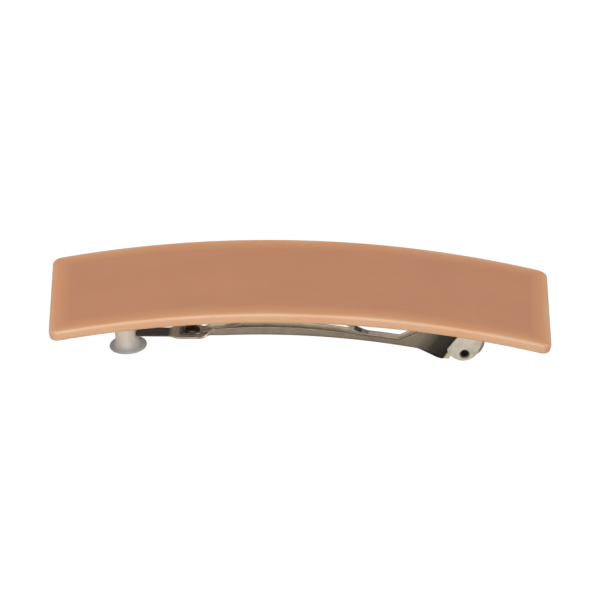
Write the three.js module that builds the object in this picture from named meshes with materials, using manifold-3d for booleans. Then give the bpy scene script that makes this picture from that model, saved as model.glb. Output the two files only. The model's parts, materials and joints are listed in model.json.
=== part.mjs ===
// Arched acetate hair barrette: a plate that carries a hinged spring clasp and a nylon catch post.
// Millimetres. +X runs along the plate from the catch to the hinge, +Y across it, +Z up.
// The origin lies under the plate's middle, level with the lowest point of the catch post's foot.

import * as THREE from "three";
import { mergeVertices } from "three/addons/utils/BufferGeometryUtils.js";
import Module from "manifold-3d";

const wasm = await Module();
wasm.setup();

// ---------------------------------------------------------------- driving dimensions

// Plate: a rounded rectangle of sheet, arched along its length.
const PLATE_LENGTH = 96;
const PLATE_WIDTH = 30.6;
const PLATE_THICKNESS = 2;
const PLATE_TOP_RADIUS = 209;
const PLATE_APEX_Z = 16.4;
const PLATE_CORNER_RADIUS = 1.8;
const PLATE_EDGE_ROUNDING = 0.45;
const PLATE_STEPS = 40;

// Catch post: a stem with a wide foot, leaning with the plate.
const POST_LEAN = THREE.MathUtils.degToRad(5.5);
const POST_FOOT_X = -32.8;
const POST_FOOT_RADIUS = 3.6;
const POST_FOOT_FLAT_RADIUS = 3.4;
const POST_FOOT_LIP = 0.45;
const POST_STEM_RADIUS = 2.1;
const POST_FOOT_RIM_STEP = 0.15;
const POST_BELL_STEP = 0.1;
const POST_BELL_HEIGHT = 0.35;
const POST_FLARE_TOP = 2.1;
const POST_STEM_LENGTH = 11.15;
const POST_SPIGOT_RADIUS = 1.2;
const POST_SPIGOT_LENGTH = 1.35;
const POST_SPIGOT_PLAY = 0.3;
const NOTCH_FLOOR = 2.25;
const NOTCH_HEIGHT = 1.25;
const NOTCH_DEPTH = 0.85;
const NOTCH_WIDTH = 3.6;

// Clasp arm: one stamped strip of sheet, seen from the side as a shallow arch.
const ARM_SHEET = 0.4;
const ARM_ARCH_X = -2.95;
const ARM_ARCH_Z = PLATE_APEX_Z - 12.36;
const ARM_ARCH_RADIUS = 155;
const ARM_ARCH_START_X = -14.5;
const ARM_TIP_X = -31.4;
const ARM_TIP_Z = PLATE_APEX_Z - 13.19;
const ARM_END_X = 28.9;
const ARM_STEPS = 40;
const TONGUE_HALF_WIDTH = 1.5;
const TONGUE_END_RADIUS = 0.5;
const PAD_HALF_WIDTH = 2.3;
const PAD_X = -21.1;
const PAD_HALF_LENGTH = 3.4;
const PAD_CORNER = 1.3;
const PAD_NECK = 0.5;
const PAD_SHOULDER = 0.35;
const PAD_BACK_NECK = 0.8;
const PAD_BACK_SHOULDER = 0.3;
const CHANNEL_HALF_WIDTH = 1.25;
const CHANNEL_DEPTH = 1.75;
const CHANNEL_SWELL = 0.15;
const CHANNEL_SWELL_REACH = 17;
const CHANNEL_START_X = -16.8;
const CHANNEL_RUNOUT = 3.6;
const GUSSET_START_X = 19.4;
const GUSSET_BEND = [26.5, PLATE_APEX_Z - 8.6];
const FLARE_START_X = 22.6;
const FLARE_BEND_X = 23.3;
const FLARE_BEND_END_X = 24;
const FLARE_END_X = 27.7;

// Hinge: two ears of the arm turn on a tubular pin between the two lugs of the bracket.
const PIN_X = 31.85;
const PIN_Z = PLATE_APEX_Z - 13.6;
const PIN_RADIUS = 0.95;
const PIN_BORE_RADIUS = 0.72;
const PIN_LENGTH = 8.3;
const PIN_HOLE_PLAY = 0.1;
const EAR_OUTER_Y = 3.5;
const EAR_END_X = 36;
const EAR_LOBE_X = 32.1;
const EAR_LOBE_Z = PLATE_APEX_Z - 11.25;
const EAR_LOBE_RADIUS = 3.5;
const EAR_LOBE_FROM = THREE.MathUtils.degToRad(220);
const EAR_LOBE_TO = THREE.MathUtils.degToRad(465);
const LUG_SHEET = 0.6;
const LUG_OUTER_Y = 4.3;
const LUG_LOBE_X = 31.5;
const LUG_LOBE_Z = PLATE_APEX_Z - 11.85;
const LUG_LOBE_RADIUS = 3.2;
const LUG_LOBE_FROM = THREE.MathUtils.degToRad(197);
const LUG_LOBE_TO = THREE.MathUtils.degToRad(340);
const LUG_ROOT_X = [33.4, 36.9];
const LUG_ROOT_DEPTH = 0.35;
const FLANGE_X = [32.6, 42.6];
const FLANGE_CORNER = 1.2;
const SEAT_GAP = 0.06;

// Rivets: two hold the bracket, one holds the tension bow.
const RIVET_XS = [35.4, 40.4];
const RIVET_SHANK_RADIUS = 0.6;
const RIVET_SHANK_IN_PLATE = 1.1;
const RIVET_HEAD_RADIUS = 1.25;
const RIVET_HEAD_HEIGHT = 0.6;
const RIVET_HOLE_PLAY = 0.15;
const RIVET_HOLE_EXTRA_DEPTH = 0.3;
const BOW_RIVET_X = -20.6;
const BOW_RIVET_HEAD_RADIUS = 1.55;
const BOW_RIVET_HEAD_HEIGHT = 0.85;
const BOW_RIVET_TAIL_RADIUS = 1.15;
const BOW_RIVET_TAIL_HEIGHT = 0.35;

// Tension bow: a leaf of spring steel riveted to the pad, arched up, with a free end on the channel.
const BOW_SHEET = 0.3;
const BOW_HALF_WIDTH = 0.72;
const BOW_TAB_HALF_WIDTH = 1.35;
const BOW_TAB_END_X = -18.9;
const BOW_TAB_CORNER = 0.6;
const BOW_LEAF_CORNER = 0.3;
const BOW_LEAF_START_X = -20.1;
const BOW_LIFT_RISE = 0.05;
const BOW_START_X = -23;
const BOW_LIFT_X = -18.6;
const BOW_CROWN = [
  [-16, 4.3],
  [-13.2, 5.1],
  [-10, 6.35],
  [-6, 7.55],
  [-1, 8.25],
  [4, 8.05],
  [7.5, 7.15],
  [10.2, 5.75],
  [12, 4.9],
  [13.3, 4.45],
];
const BOW_STEPS = 44;

const ROUND_SEGMENTS = 28;
const TALL = 60;

// ---------------------------------------------------------------- solids and outlines

// A closed three.js geometry as a solid that can be joined and cut.
function toSolid(geometry) {
  const bare = geometry.index ? geometry.toNonIndexed() : geometry.clone();
  bare.deleteAttribute("normal");
  bare.deleteAttribute("uv");
  const merged = mergeVertices(bare, 1e-4);
  const corners = merged.index.array;
  const triangles = [];
  for (let i = 0; i < corners.length; i += 3) {
    const [a, b, c] = [corners[i], corners[i + 1], corners[i + 2]];
    if (a !== b && b !== c && c !== a) triangles.push(a, b, c);
  }
  return new wasm.Manifold(
    new wasm.Mesh({
      numProp: 3,
      vertProperties: merged.attributes.position.array,
      triVerts: new Uint32Array(triangles),
    }),
  );
}

function toGeometry(solid) {
  const mesh = solid.getMesh();
  const geometry = new THREE.BufferGeometry();
  const points = new THREE.BufferAttribute(mesh.vertProperties, 3);
  geometry.setAttribute("position", points);
  geometry.setIndex(new THREE.BufferAttribute(mesh.triVerts, 1));
  const flat = geometry.toNonIndexed();
  flat.computeVertexNormals();
  return flat;
}

// An outline in X and Z, made solid between two places across the barrette.
function acrossSolid(outline, fromY, toY, rounding = 0) {
  const depth = toY - fromY - 2 * rounding;
  const geometry = new THREE.ExtrudeGeometry(outline, {
    depth,
    bevelEnabled: rounding > 0,
    bevelSize: rounding,
    bevelOffset: -rounding,
    bevelThickness: rounding,
    bevelSegments: 3,
    curveSegments: ROUND_SEGMENTS,
  });
  geometry.rotateX(Math.PI / 2);
  geometry.translate(0, toY - rounding, 0);
  return toSolid(geometry);
}

// An outline in X and Y, made solid over the whole height, to trim a bent sheet to its plan.
function planSolid(outline) {
  const geometry = new THREE.ExtrudeGeometry(outline, {
    depth: TALL,
    bevelEnabled: false,
    curveSegments: 8,
  });
  geometry.translate(0, 0, -TALL / 2);
  return toSolid(geometry);
}

// A body of revolution about Z from a profile of [radius, height] pairs, listed upwards.
function turnedGeometry(profile, segments = ROUND_SEGMENTS) {
  const points = profile.map(([radius, height]) => new THREE.Vector2(radius, height));
  const geometry = new THREE.LatheGeometry(points, segments);
  geometry.rotateX(Math.PI / 2);
  return geometry;
}

// A quarter dome's profile, from its rim up to its crown on the axis.
function domeProfile(radius, height, steps = 5) {
  const profile = [];
  for (let i = 0; i <= steps; i++) {
    const turn = (i / steps) * (Math.PI / 2);
    profile.push([i === steps ? 0 : radius * Math.cos(turn), height * Math.sin(turn)]);
  }
  return profile;
}

// The side view of a bent sheet whose lower face runs along a line of points.
function sheetOutline(lower, sheet) {
  const upper = lower.map((point, i) => {
    const before = lower[Math.max(i - 1, 0)];
    const after = lower[Math.min(i + 1, lower.length - 1)];
    const along = after.clone().sub(before).normalize();
    return new THREE.Vector2(point.x - along.y * sheet, point.y + along.x * sheet);
  });
  return new THREE.Shape([...lower, ...upper.reverse()]);
}

// Points along a height that is a function of X.
function pointsAlong(heightAt, fromX, toX, steps) {
  const points = [];
  for (let i = 0; i <= steps; i++) {
    const x = THREE.MathUtils.lerp(fromX, toX, i / steps);
    points.push(new THREE.Vector2(x, heightAt(x)));
  }
  return points;
}

function roundedRectangle(x0, x1, halfWidth, corner) {
  const outline = new THREE.Shape();
  const quarter = Math.PI / 2;
  outline.absarc(x1 - corner, halfWidth - corner, corner, 0, quarter);
  outline.absarc(x0 + corner, halfWidth - corner, corner, quarter, 2 * quarter);
  outline.absarc(x0 + corner, corner - halfWidth, corner, 2 * quarter, 3 * quarter);
  outline.absarc(x1 - corner, corner - halfWidth, corner, 3 * quarter, 4 * quarter);
  outline.closePath();
  return outline;
}

function cylinderAlongY(x, z, radius, length) {
  const geometry = new THREE.CylinderGeometry(radius, radius, length, ROUND_SEGMENTS);
  geometry.translate(x, 0, z);
  return toSolid(geometry);
}

function material(color, roughness, metalness) {
  return new THREE.MeshStandardMaterial({ color, roughness, metalness });
}

function named(name, geometry, look) {
  const mesh = new THREE.Mesh(geometry, look);
  mesh.name = name;
  return mesh;
}

// ---------------------------------------------------------------- shared heights

const plateCentreZ = PLATE_APEX_Z - PLATE_TOP_RADIUS;
const plateUnderRadius = PLATE_TOP_RADIUS - PLATE_THICKNESS;

function plateUnderZ(x) {
  return plateCentreZ + Math.sqrt(plateUnderRadius ** 2 - x ** 2);
}

// How far the plate's surface leans from the vertical at a place along it.
function plateLean(x) {
  return Math.asin(x / plateUnderRadius);
}

const archStartZ = ARM_ARCH_Z - (ARM_ARCH_START_X - ARM_ARCH_X) ** 2 / (2 * ARM_ARCH_RADIUS);

// The arm's lower face: a shallow arch that runs straight on under the pad and the tongue.
function armUnderZ(x) {
  if (x > ARM_ARCH_START_X) {
    return ARM_ARCH_Z - (x - ARM_ARCH_X) ** 2 / (2 * ARM_ARCH_RADIUS);
  }
  const share = (ARM_ARCH_START_X - x) / (ARM_ARCH_START_X - ARM_TIP_X);
  return THREE.MathUtils.lerp(archStartZ, ARM_TIP_Z, share);
}

const postFootZ = POST_FOOT_FLAT_RADIUS * Math.sin(POST_LEAN);

// Puts a turned piece on the catch post's leaning axis, with its base at the foot's underside.
function onPostAxis(object) {
  object.rotation.y = -POST_LEAN;
  object.position.set(POST_FOOT_X, 0, postFootZ);
  object.updateMatrix();
  return object;
}

// Puts a turned piece square to the plate, with its base on the plate's underside.
function onPlateUnderside(object, x) {
  object.rotation.y = plateLean(x);
  object.position.set(x, 0, plateUnderZ(x));
  object.updateMatrix();
  return object;
}

// A drill as long as the holes need, placed by one of the two functions above.
function drillAt(place, radius, fromHeight, toHeight) {
  const profile = [
    [0, fromHeight],
    [radius, fromHeight],
    [radius, toHeight],
    [0, toHeight],
  ];
  const drill = place(new THREE.Object3D());
  return toSolid(turnedGeometry(profile).applyMatrix4(drill.matrix));
}

// ---------------------------------------------------------------- pieces

function makeTopPlate() {
  const reach = PLATE_LENGTH / 2 + 1;
  const lower = pointsAlong(plateUnderZ, -reach, reach, PLATE_STEPS);
  const halfWidth = PLATE_WIDTH / 2;
  const arch = acrossSolid(
    sheetOutline(lower, PLATE_THICKNESS),
    -halfWidth,
    halfWidth,
    PLATE_EDGE_ROUNDING,
  );
  const halfLength = PLATE_LENGTH / 2;
  const plan = roundedRectangle(-halfLength, halfLength, halfWidth + 0.001, PLATE_CORNER_RADIUS);
  let plate = arch.intersect(planSolid(plan));
  const spigotHole = drillAt(
    onPostAxis,
    POST_SPIGOT_RADIUS + POST_SPIGOT_PLAY,
    POST_STEM_LENGTH - 1,
    POST_STEM_LENGTH + POST_SPIGOT_LENGTH + POST_SPIGOT_PLAY,
  );
  plate = plate.subtract(spigotHole);
  for (const x of RIVET_XS) {
    const hole = drillAt(
      (drill) => onPlateUnderside(drill, x),
      RIVET_SHANK_RADIUS + RIVET_HOLE_PLAY,
      -1,
      RIVET_SHANK_IN_PLATE + RIVET_HOLE_EXTRA_DEPTH,
    );
    plate = plate.subtract(hole);
  }
  return named("top_plate", toGeometry(plate), material(0xb88462, 0.3, 0));
}

function makeCatchPost() {
  const flare = new THREE.QuadraticBezierCurve(
    new THREE.Vector2(POST_FOOT_RADIUS - POST_FOOT_RIM_STEP, POST_FOOT_LIP),
    new THREE.Vector2(POST_STEM_RADIUS + POST_BELL_STEP, POST_FOOT_LIP + POST_BELL_HEIGHT),
    new THREE.Vector2(POST_STEM_RADIUS, POST_FLARE_TOP),
  );
  const profile = [
    [0, 0],
    [POST_FOOT_FLAT_RADIUS, 0],
    [POST_FOOT_RADIUS, (POST_FOOT_RADIUS - POST_FOOT_FLAT_RADIUS) / 2],
    ...flare.getPoints(6).map((point) => [point.x, point.y]),
    [POST_STEM_RADIUS, POST_STEM_LENGTH],
    [POST_SPIGOT_RADIUS, POST_STEM_LENGTH],
    [POST_SPIGOT_RADIUS, POST_STEM_LENGTH + POST_SPIGOT_LENGTH],
    [0, POST_STEM_LENGTH + POST_SPIGOT_LENGTH],
  ];
  const notch = new THREE.BoxGeometry(2 * NOTCH_DEPTH, NOTCH_WIDTH, NOTCH_HEIGHT);
  notch.translate(POST_STEM_RADIUS, 0, NOTCH_FLOOR + NOTCH_HEIGHT / 2);
  const post = toSolid(turnedGeometry(profile, 36)).subtract(toSolid(notch));
  return onPostAxis(named("catch_post", toGeometry(post), material(0xcfc8b6, 0.45, 0)));
}

function makeHingeBracket() {
  const gapUnder = (x) => plateUnderZ(x) - SEAT_GAP - LUG_SHEET;
  const strip = sheetOutline(pointsAlong(gapUnder, FLANGE_X[0], FLANGE_X[1], 8), LUG_SHEET);
  const flange = acrossSolid(strip, -LUG_OUTER_Y, LUG_OUTER_Y);
  const plan = roundedRectangle(FLANGE_X[0], FLANGE_X[1], LUG_OUTER_Y, FLANGE_CORNER);
  let bracket = flange.intersect(planSolid(plan));

  const lug = new THREE.Shape();
  lug.absarc(LUG_LOBE_X, LUG_LOBE_Z, LUG_LOBE_RADIUS, LUG_LOBE_FROM, LUG_LOBE_TO, false);
  lug.lineTo(LUG_ROOT_X[1], plateUnderZ(LUG_ROOT_X[1]) - LUG_ROOT_DEPTH);
  lug.lineTo(LUG_ROOT_X[0], plateUnderZ(LUG_ROOT_X[0]) - LUG_ROOT_DEPTH);
  lug.closePath();
  for (const side of [-1, 1]) {
    const outer = side * LUG_OUTER_Y;
    const inner = side * (LUG_OUTER_Y - LUG_SHEET);
    bracket = bracket.add(acrossSolid(lug, Math.min(inner, outer), Math.max(inner, outer)));
  }
  const pinHole = cylinderAlongY(PIN_X, PIN_Z, PIN_RADIUS + PIN_HOLE_PLAY, PLATE_WIDTH);
  bracket = bracket.subtract(pinHole);
  for (const x of RIVET_XS) {
    const place = (drill) => onPlateUnderside(drill, x);
    bracket = bracket.subtract(drillAt(place, RIVET_SHANK_RADIUS + RIVET_HOLE_PLAY, -2, 1));
  }
  return named("hinge_bracket", toGeometry(bracket), material(0xb9b2a6, 0.35, 1));
}

function makeBracketRivet(name, x) {
  const seat = -SEAT_GAP - LUG_SHEET - SEAT_GAP;
  const dome = domeProfile(RIVET_HEAD_RADIUS, -RIVET_HEAD_HEIGHT).reverse();
  const profile = [
    ...dome.map(([radius, height]) => [radius, seat + height]),
    [RIVET_SHANK_RADIUS, seat],
    [RIVET_SHANK_RADIUS, RIVET_SHANK_IN_PLATE],
    [0, RIVET_SHANK_IN_PLATE],
  ];
  return onPlateUnderside(named(name, turnedGeometry(profile, 24), material(0xa9a39a, 0.3, 1)), x);
}

function makeHingePin() {
  const tube = cylinderAlongY(PIN_X, PIN_Z, PIN_RADIUS, PIN_LENGTH);
  const bore = cylinderAlongY(PIN_X, PIN_Z, PIN_BORE_RADIUS, PIN_LENGTH + 1);
  return named("hinge_pin", toGeometry(tube.subtract(bore)), material(0x8d8881, 0.35, 1));
}

// Half the arm's width at the flare, from the narrow bar out to the flat of the ears.
function flareEdge() {
  const slope = (EAR_OUTER_Y - CHANNEL_HALF_WIDTH) / (FLARE_END_X - FLARE_BEND_X);
  const bendEnd = CHANNEL_HALF_WIDTH + slope * (FLARE_BEND_END_X - FLARE_BEND_X);
  const bend = new THREE.QuadraticBezierCurve(
    new THREE.Vector2(FLARE_START_X, CHANNEL_HALF_WIDTH),
    new THREE.Vector2(FLARE_BEND_X, CHANNEL_HALF_WIDTH),
    new THREE.Vector2(FLARE_BEND_END_X, bendEnd),
  );
  return [...bend.getPoints(4), new THREE.Vector2(FLARE_END_X, EAR_OUTER_Y)];
}

// The web's plan: tongue, pad, narrow bar, and a flare out to the ears.
function webPlan() {
  const edge = [
    new THREE.Vector2(ARM_TIP_X, TONGUE_HALF_WIDTH - TONGUE_END_RADIUS),
    new THREE.Vector2(ARM_TIP_X + TONGUE_END_RADIUS, TONGUE_HALF_WIDTH),
    new THREE.Vector2(PAD_X - PAD_HALF_LENGTH - PAD_NECK, TONGUE_HALF_WIDTH),
    new THREE.Vector2(PAD_X - PAD_HALF_LENGTH, TONGUE_HALF_WIDTH + PAD_SHOULDER),
    new THREE.Vector2(PAD_X - PAD_HALF_LENGTH + PAD_CORNER, PAD_HALF_WIDTH),
    new THREE.Vector2(PAD_X + PAD_HALF_LENGTH - PAD_CORNER, PAD_HALF_WIDTH),
    new THREE.Vector2(PAD_X + PAD_HALF_LENGTH, CHANNEL_HALF_WIDTH + PAD_BACK_SHOULDER),
    new THREE.Vector2(PAD_X + PAD_HALF_LENGTH + PAD_BACK_NECK, CHANNEL_HALF_WIDTH),
    ...flareEdge(),
    new THREE.Vector2(ARM_END_X, EAR_OUTER_Y),
  ];
  const near = edge.map((point) => new THREE.Vector2(point.x, -point.y));
  return new THREE.Shape([...near, ...edge.reverse()]);
}

// The plan of one wall, on the side of the barrette that side gives: a bar, a flare and an ear.
function wallPlan(side) {
  const outer = [
    new THREE.Vector2(CHANNEL_START_X, CHANNEL_HALF_WIDTH),
    ...flareEdge(),
    new THREE.Vector2(EAR_END_X, EAR_OUTER_Y),
  ];
  const inner = outer.map((point) => new THREE.Vector2(point.x, point.y - ARM_SHEET));
  const ring = [...outer, ...inner.reverse()];
  const placed = ring.map((point) => new THREE.Vector2(point.x, side * point.y));
  return new THREE.Shape(side > 0 ? placed.reverse() : placed);
}

// How high a wall stands above the arm's lower face along the narrow bar.
function channelHeight(x) {
  const swell = CHANNEL_SWELL * (1 - (x / CHANNEL_SWELL_REACH) ** 2);
  const rise = THREE.MathUtils.smoothstep(x - CHANNEL_START_X, -1, CHANNEL_RUNOUT);
  return rise * (CHANNEL_DEPTH + Math.max(swell, 0));
}

// The side view of a wall: low along the bar, a gusset that climbs to the hinge, and the ear's lobe.
function wallOutline() {
  const wall = new THREE.Shape();
  wall.setFromPoints(pointsAlong(armUnderZ, CHANNEL_START_X, ARM_END_X, ARM_STEPS));
  wall.absarc(EAR_LOBE_X, EAR_LOBE_Z, EAR_LOBE_RADIUS, EAR_LOBE_FROM, EAR_LOBE_TO, false);
  const gussetZ = armUnderZ(GUSSET_START_X) + channelHeight(GUSSET_START_X);
  wall.quadraticCurveTo(GUSSET_BEND[0], GUSSET_BEND[1], GUSSET_START_X, gussetZ);
  const topZ = (x) => armUnderZ(x) + channelHeight(x);
  for (const point of pointsAlong(topZ, GUSSET_START_X, CHANNEL_START_X, 30).slice(1)) {
    wall.lineTo(point.x, point.y);
  }
  wall.closePath();
  return wall;
}

function makeClaspArm() {
  const lower = pointsAlong(armUnderZ, ARM_TIP_X - 1, ARM_END_X, ARM_STEPS);
  const strip = acrossSolid(sheetOutline(lower, ARM_SHEET), -EAR_OUTER_Y - 1, EAR_OUTER_Y + 1);
  const sides = acrossSolid(wallOutline(), -EAR_OUTER_Y - 1, EAR_OUTER_Y + 1);
  let arm = strip.intersect(planSolid(webPlan()));
  for (const side of [-1, 1]) arm = arm.add(sides.intersect(planSolid(wallPlan(side))));
  arm = arm.subtract(cylinderAlongY(PIN_X, PIN_Z, PIN_RADIUS + PIN_HOLE_PLAY, PLATE_WIDTH));
  arm = arm.subtract(bowRivetHole());
  return named("clasp_arm", toGeometry(arm), material(0xb4ada1, 0.3, 1));
}

const padTopZ = armUnderZ(BOW_RIVET_X) + ARM_SHEET;

// The hole through pad and bow, a little wider than the rivet's shank.
function bowRivetHole() {
  const radius = RIVET_SHANK_RADIUS + RIVET_HOLE_PLAY;
  const geometry = new THREE.CylinderGeometry(radius, radius, 4, ROUND_SEGMENTS);
  geometry.rotateX(Math.PI / 2);
  geometry.translate(BOW_RIVET_X, 0, padTopZ);
  return toSolid(geometry);
}

function makeTensionBow() {
  const onPad = (x) => new THREE.Vector3(x, armUnderZ(x) + ARM_SHEET + SEAT_GAP, 0);
  const guides = [
    onPad(BOW_START_X),
    onPad(BOW_RIVET_X),
    onPad(BOW_LIFT_X).add(new THREE.Vector3(0, BOW_LIFT_RISE, 0)),
    ...BOW_CROWN.map(([x, z]) => new THREE.Vector3(x, z, 0)),
  ];
  const line = new THREE.CatmullRomCurve3(guides, false, "centripetal").getPoints(BOW_STEPS);
  const lower = line.map((point) => new THREE.Vector2(point.x, point.y));
  const across = BOW_TAB_HALF_WIDTH + 1;
  const strip = acrossSolid(sheetOutline(lower, BOW_SHEET), -across, across);
  const endX = BOW_CROWN[BOW_CROWN.length - 1][0];
  const tab = roundedRectangle(BOW_START_X, BOW_TAB_END_X, BOW_TAB_HALF_WIDTH, BOW_TAB_CORNER);
  const leaf = roundedRectangle(BOW_LEAF_START_X, endX, BOW_HALF_WIDTH, BOW_LEAF_CORNER);
  const plan = planSolid(tab).add(planSolid(leaf));
  const bow = strip.intersect(plan).subtract(bowRivetHole());
  return named("tension_bow", toGeometry(bow), material(0x9d978c, 0.3, 1));
}

function makeBowRivet() {
  const top = ARM_SHEET + BOW_SHEET + 3 * SEAT_GAP;
  const bottom = -2 * SEAT_GAP;
  const dome = domeProfile(BOW_RIVET_HEAD_RADIUS, BOW_RIVET_HEAD_HEIGHT);
  const profile = [
    [0, bottom - BOW_RIVET_TAIL_HEIGHT],
    [BOW_RIVET_TAIL_RADIUS, bottom - BOW_RIVET_TAIL_HEIGHT],
    [BOW_RIVET_TAIL_RADIUS, bottom],
    [RIVET_SHANK_RADIUS, bottom],
    [RIVET_SHANK_RADIUS, top],
    ...dome.map(([radius, height]) => [radius, top + height]),
  ];
  const rivet = named("bow_rivet", turnedGeometry(profile, 24), material(0x6f675c, 0.35, 1));
  rivet.position.set(BOW_RIVET_X, 0, armUnderZ(BOW_RIVET_X));
  return rivet;
}

// ---------------------------------------------------------------- assembly

const clasp = new THREE.Group();
clasp.add(makeClaspArm(), makeTensionBow(), makeBowRivet());

const hinge = new THREE.Group();
hinge.add(makeHingeBracket(), makeHingePin());
hinge.add(makeBracketRivet("bracket_rivet_inner", RIVET_XS[0]));
hinge.add(makeBracketRivet("bracket_rivet_outer", RIVET_XS[1]));

const barrette = new THREE.Group();
barrette.add(makeTopPlate(), makeCatchPost(), hinge, clasp);

export default barrette;
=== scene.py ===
"""The looks of an arched acetate hair barrette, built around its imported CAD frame.

Shapes are worked out in millimetres, and each mesh is turned into metres when it is finished.
X runs along the barrette from the catch post to the hinge, Y across it and Z up.
"""

import json
import math

import bpy
from mathutils import Matrix, Vector


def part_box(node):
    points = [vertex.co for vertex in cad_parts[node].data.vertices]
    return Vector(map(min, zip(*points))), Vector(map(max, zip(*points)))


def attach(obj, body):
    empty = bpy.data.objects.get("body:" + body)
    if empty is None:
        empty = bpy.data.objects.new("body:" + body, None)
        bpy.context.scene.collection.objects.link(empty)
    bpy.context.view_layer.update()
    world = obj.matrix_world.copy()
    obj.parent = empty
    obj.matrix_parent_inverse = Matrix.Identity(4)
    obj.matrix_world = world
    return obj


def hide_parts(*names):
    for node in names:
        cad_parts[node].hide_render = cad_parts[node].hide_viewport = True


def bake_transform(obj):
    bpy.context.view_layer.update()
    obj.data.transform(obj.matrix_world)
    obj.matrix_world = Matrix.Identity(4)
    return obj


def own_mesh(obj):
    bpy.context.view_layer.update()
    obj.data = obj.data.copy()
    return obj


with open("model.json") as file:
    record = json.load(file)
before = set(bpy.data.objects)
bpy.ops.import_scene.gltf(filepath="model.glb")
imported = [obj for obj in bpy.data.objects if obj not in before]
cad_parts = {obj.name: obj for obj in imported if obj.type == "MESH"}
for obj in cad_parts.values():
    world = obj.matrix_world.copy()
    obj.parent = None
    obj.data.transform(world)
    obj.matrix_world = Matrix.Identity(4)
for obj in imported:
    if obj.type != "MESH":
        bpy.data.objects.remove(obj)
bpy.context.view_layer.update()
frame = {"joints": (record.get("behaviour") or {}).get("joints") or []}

MM = 0.001


# ---------------------------------------------------------------- places from the frame


def box_mm(node):
    """A CAD node's lowest and highest corners, in millimetres."""
    low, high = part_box(node)
    return low / MM, high / MM


def joint_place_mm(name):
    """A joint's place at rest, in millimetres."""
    joint = next(joint for joint in frame["joints"] if joint["name"] == name)
    return Vector(joint["pos_m"]) / MM


PLATE_HIGH = box_mm("top_plate")[1]
POST_LOW = box_mm("catch_post")[0]
BOW_LOW = box_mm("tension_bow")[0]
ARM_LOW = box_mm("clasp_arm")[0]
BRACKET_LOW, BRACKET_HIGH = box_mm("hinge_bracket")
PIN_LOW, PIN_HIGH = box_mm("hinge_pin")
HINGE = joint_place_mm("arm_hinge")
PIN_RADIUS = (PIN_HIGH.x - PIN_LOW.x) / 2
PIN_PLACE = Matrix.Translation(HINGE) @ Matrix.Rotation(math.pi / 2, 4, "X")

# ---------------------------------------------------------------- driving dimensions, mm

PLATE_THICKNESS = 2.0
PLATE_RADIUS = 209.0
PLATE_CORNER = 1.8
PLATE_FILLET = 0.55
FACE_RINGS = (0.15, 0.5, 1.2, 2.4, 4.2, 6.5, 9, 11.5)  # mesh rings, in from the fillet

POST_LEAN = math.radians(5.5)
POST_FOOT_RADIUS = 3.6
POST_FOOT_FLAT = 3.4
POST_LIP = 0.42
POST_LIP_ROUNDING = 0.14
POST_FLAT_MARGIN = 0.1
POST_STEM_RADIUS = 2.2
POST_STEM_TOP_RADIUS = 2.22
POST_STEM_BEND = math.radians(3.8)
POST_FLARE_TOP = 2.2
POST_FLARE_START = (0.22, 0.02)  # in from the foot's rim, up from its lip
POST_FLARE_BEND = (0.12, 0.3)  # out from the stem, up from the lip
POST_STEM_LENGTH = 11.25
NOTCH_FLOOR = 2.25
NOTCH_HEIGHT = 1.25
NOTCH_DEPTH = 0.5
NOTCH_WIDTH = 3.6
NOTCH_ROUNDING = 0.12

SHEET_ROUNDING = 0.1
ARM_SHEET = 0.4
ARM_ARCH_X = -2.95
ARM_ARCH_DROP = 12.36
ARM_ARCH_RADIUS = 155.0
ARM_ARCH_START = -14.5
ARM_TIP_DROP = 13.19
ARM_END_DROOP = 0.3
ARM_DROOP_FROM = (25.0, 28.5)
ARM_WEB_END = 28.9
TONGUE_HALF_WIDTH = 1.5
TONGUE_END_ROUNDING = 0.5
PAD_HALF_WIDTH = 2.4
PAD_NECK_X = (-25.1, -23.2)
PAD_BACK_X = (-19.4, -16.9)
FOLD_X = (-18.8, -16.6)
BAR_HALF_WIDTH = 1.25
BAR_WALL = 1.3
BAR_WALL_SWELL = 0.6
BAR_SWELL_X = -5.0
BAR_SWELL_REACH = 17.0
FOLD_RADIUS = 0.4
FLAT_FOLD = 1e-3  # the least fold angle: below it the strip is flat
FLAT_SHARES = (0.4, 0.3, 0.3)  # web, fold and wall of a strip that isn't folded
LEAST_WALL = 0.02
GUSSET_START = 19.4
GUSSET_BEND = (26.5, 8.6)
FLARE_START = 23.1
FLARE_END = 27.5
FLARE_START_LEAN = 0.25
FLARE_END_LEAN = 0.5
FLARE_BULGE = 0.35
EAR_OUTER_Y = 3.5
EAR_LOBE = (32.1, 11.25, 3.5)
EAR_FRONT_X = 29.42
EAR_TOP_X = 31.19
EAR_HOLE_PLAY = 0.08

LUG_SHEET = 0.6
LUG_LOBE = (31.5, 11.85, 3.2)
LUG_LOBE_FROM = math.radians(197)
LUG_LOBE_TO = math.radians(340)
LUG_ROOT_X = (33.4, 36.9)
LUG_FOLD_RADIUS = 0.55
LUG_HOLE_PLAY = 0.04
FLANGE_LENGTH = 10.0
SEAT_GAP = 0.06
PIN_BORE_SHARE = 0.76
PIN_RIM = 0.06
DRILL_REACH = 6

BOW_SHEET = 0.3
BOW_ROUNDING = 0.07
BOW_LIFT_X = -18.6
BOW_LIFT = 0.05
BOW_TAB_HALF_WIDTH = 1.35
BOW_TAB_END = -18.9
BOW_TAB_TAPER = 0.8
BOW_CORNER_SHARE = 0.45
BOW_HALF_WIDTH = 0.72
BOW_CROWN = [
    (-16, 4.3),
    (-13.2, 5.1),
    (-10, 6.35),
    (-6, 7.55),
    (-1, 8.25),
    (4, 8.05),
    (7.5, 7.15),
    (10.2, 5.75),
    (12, 4.9),
    (13.3, 4.45),
]

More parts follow.
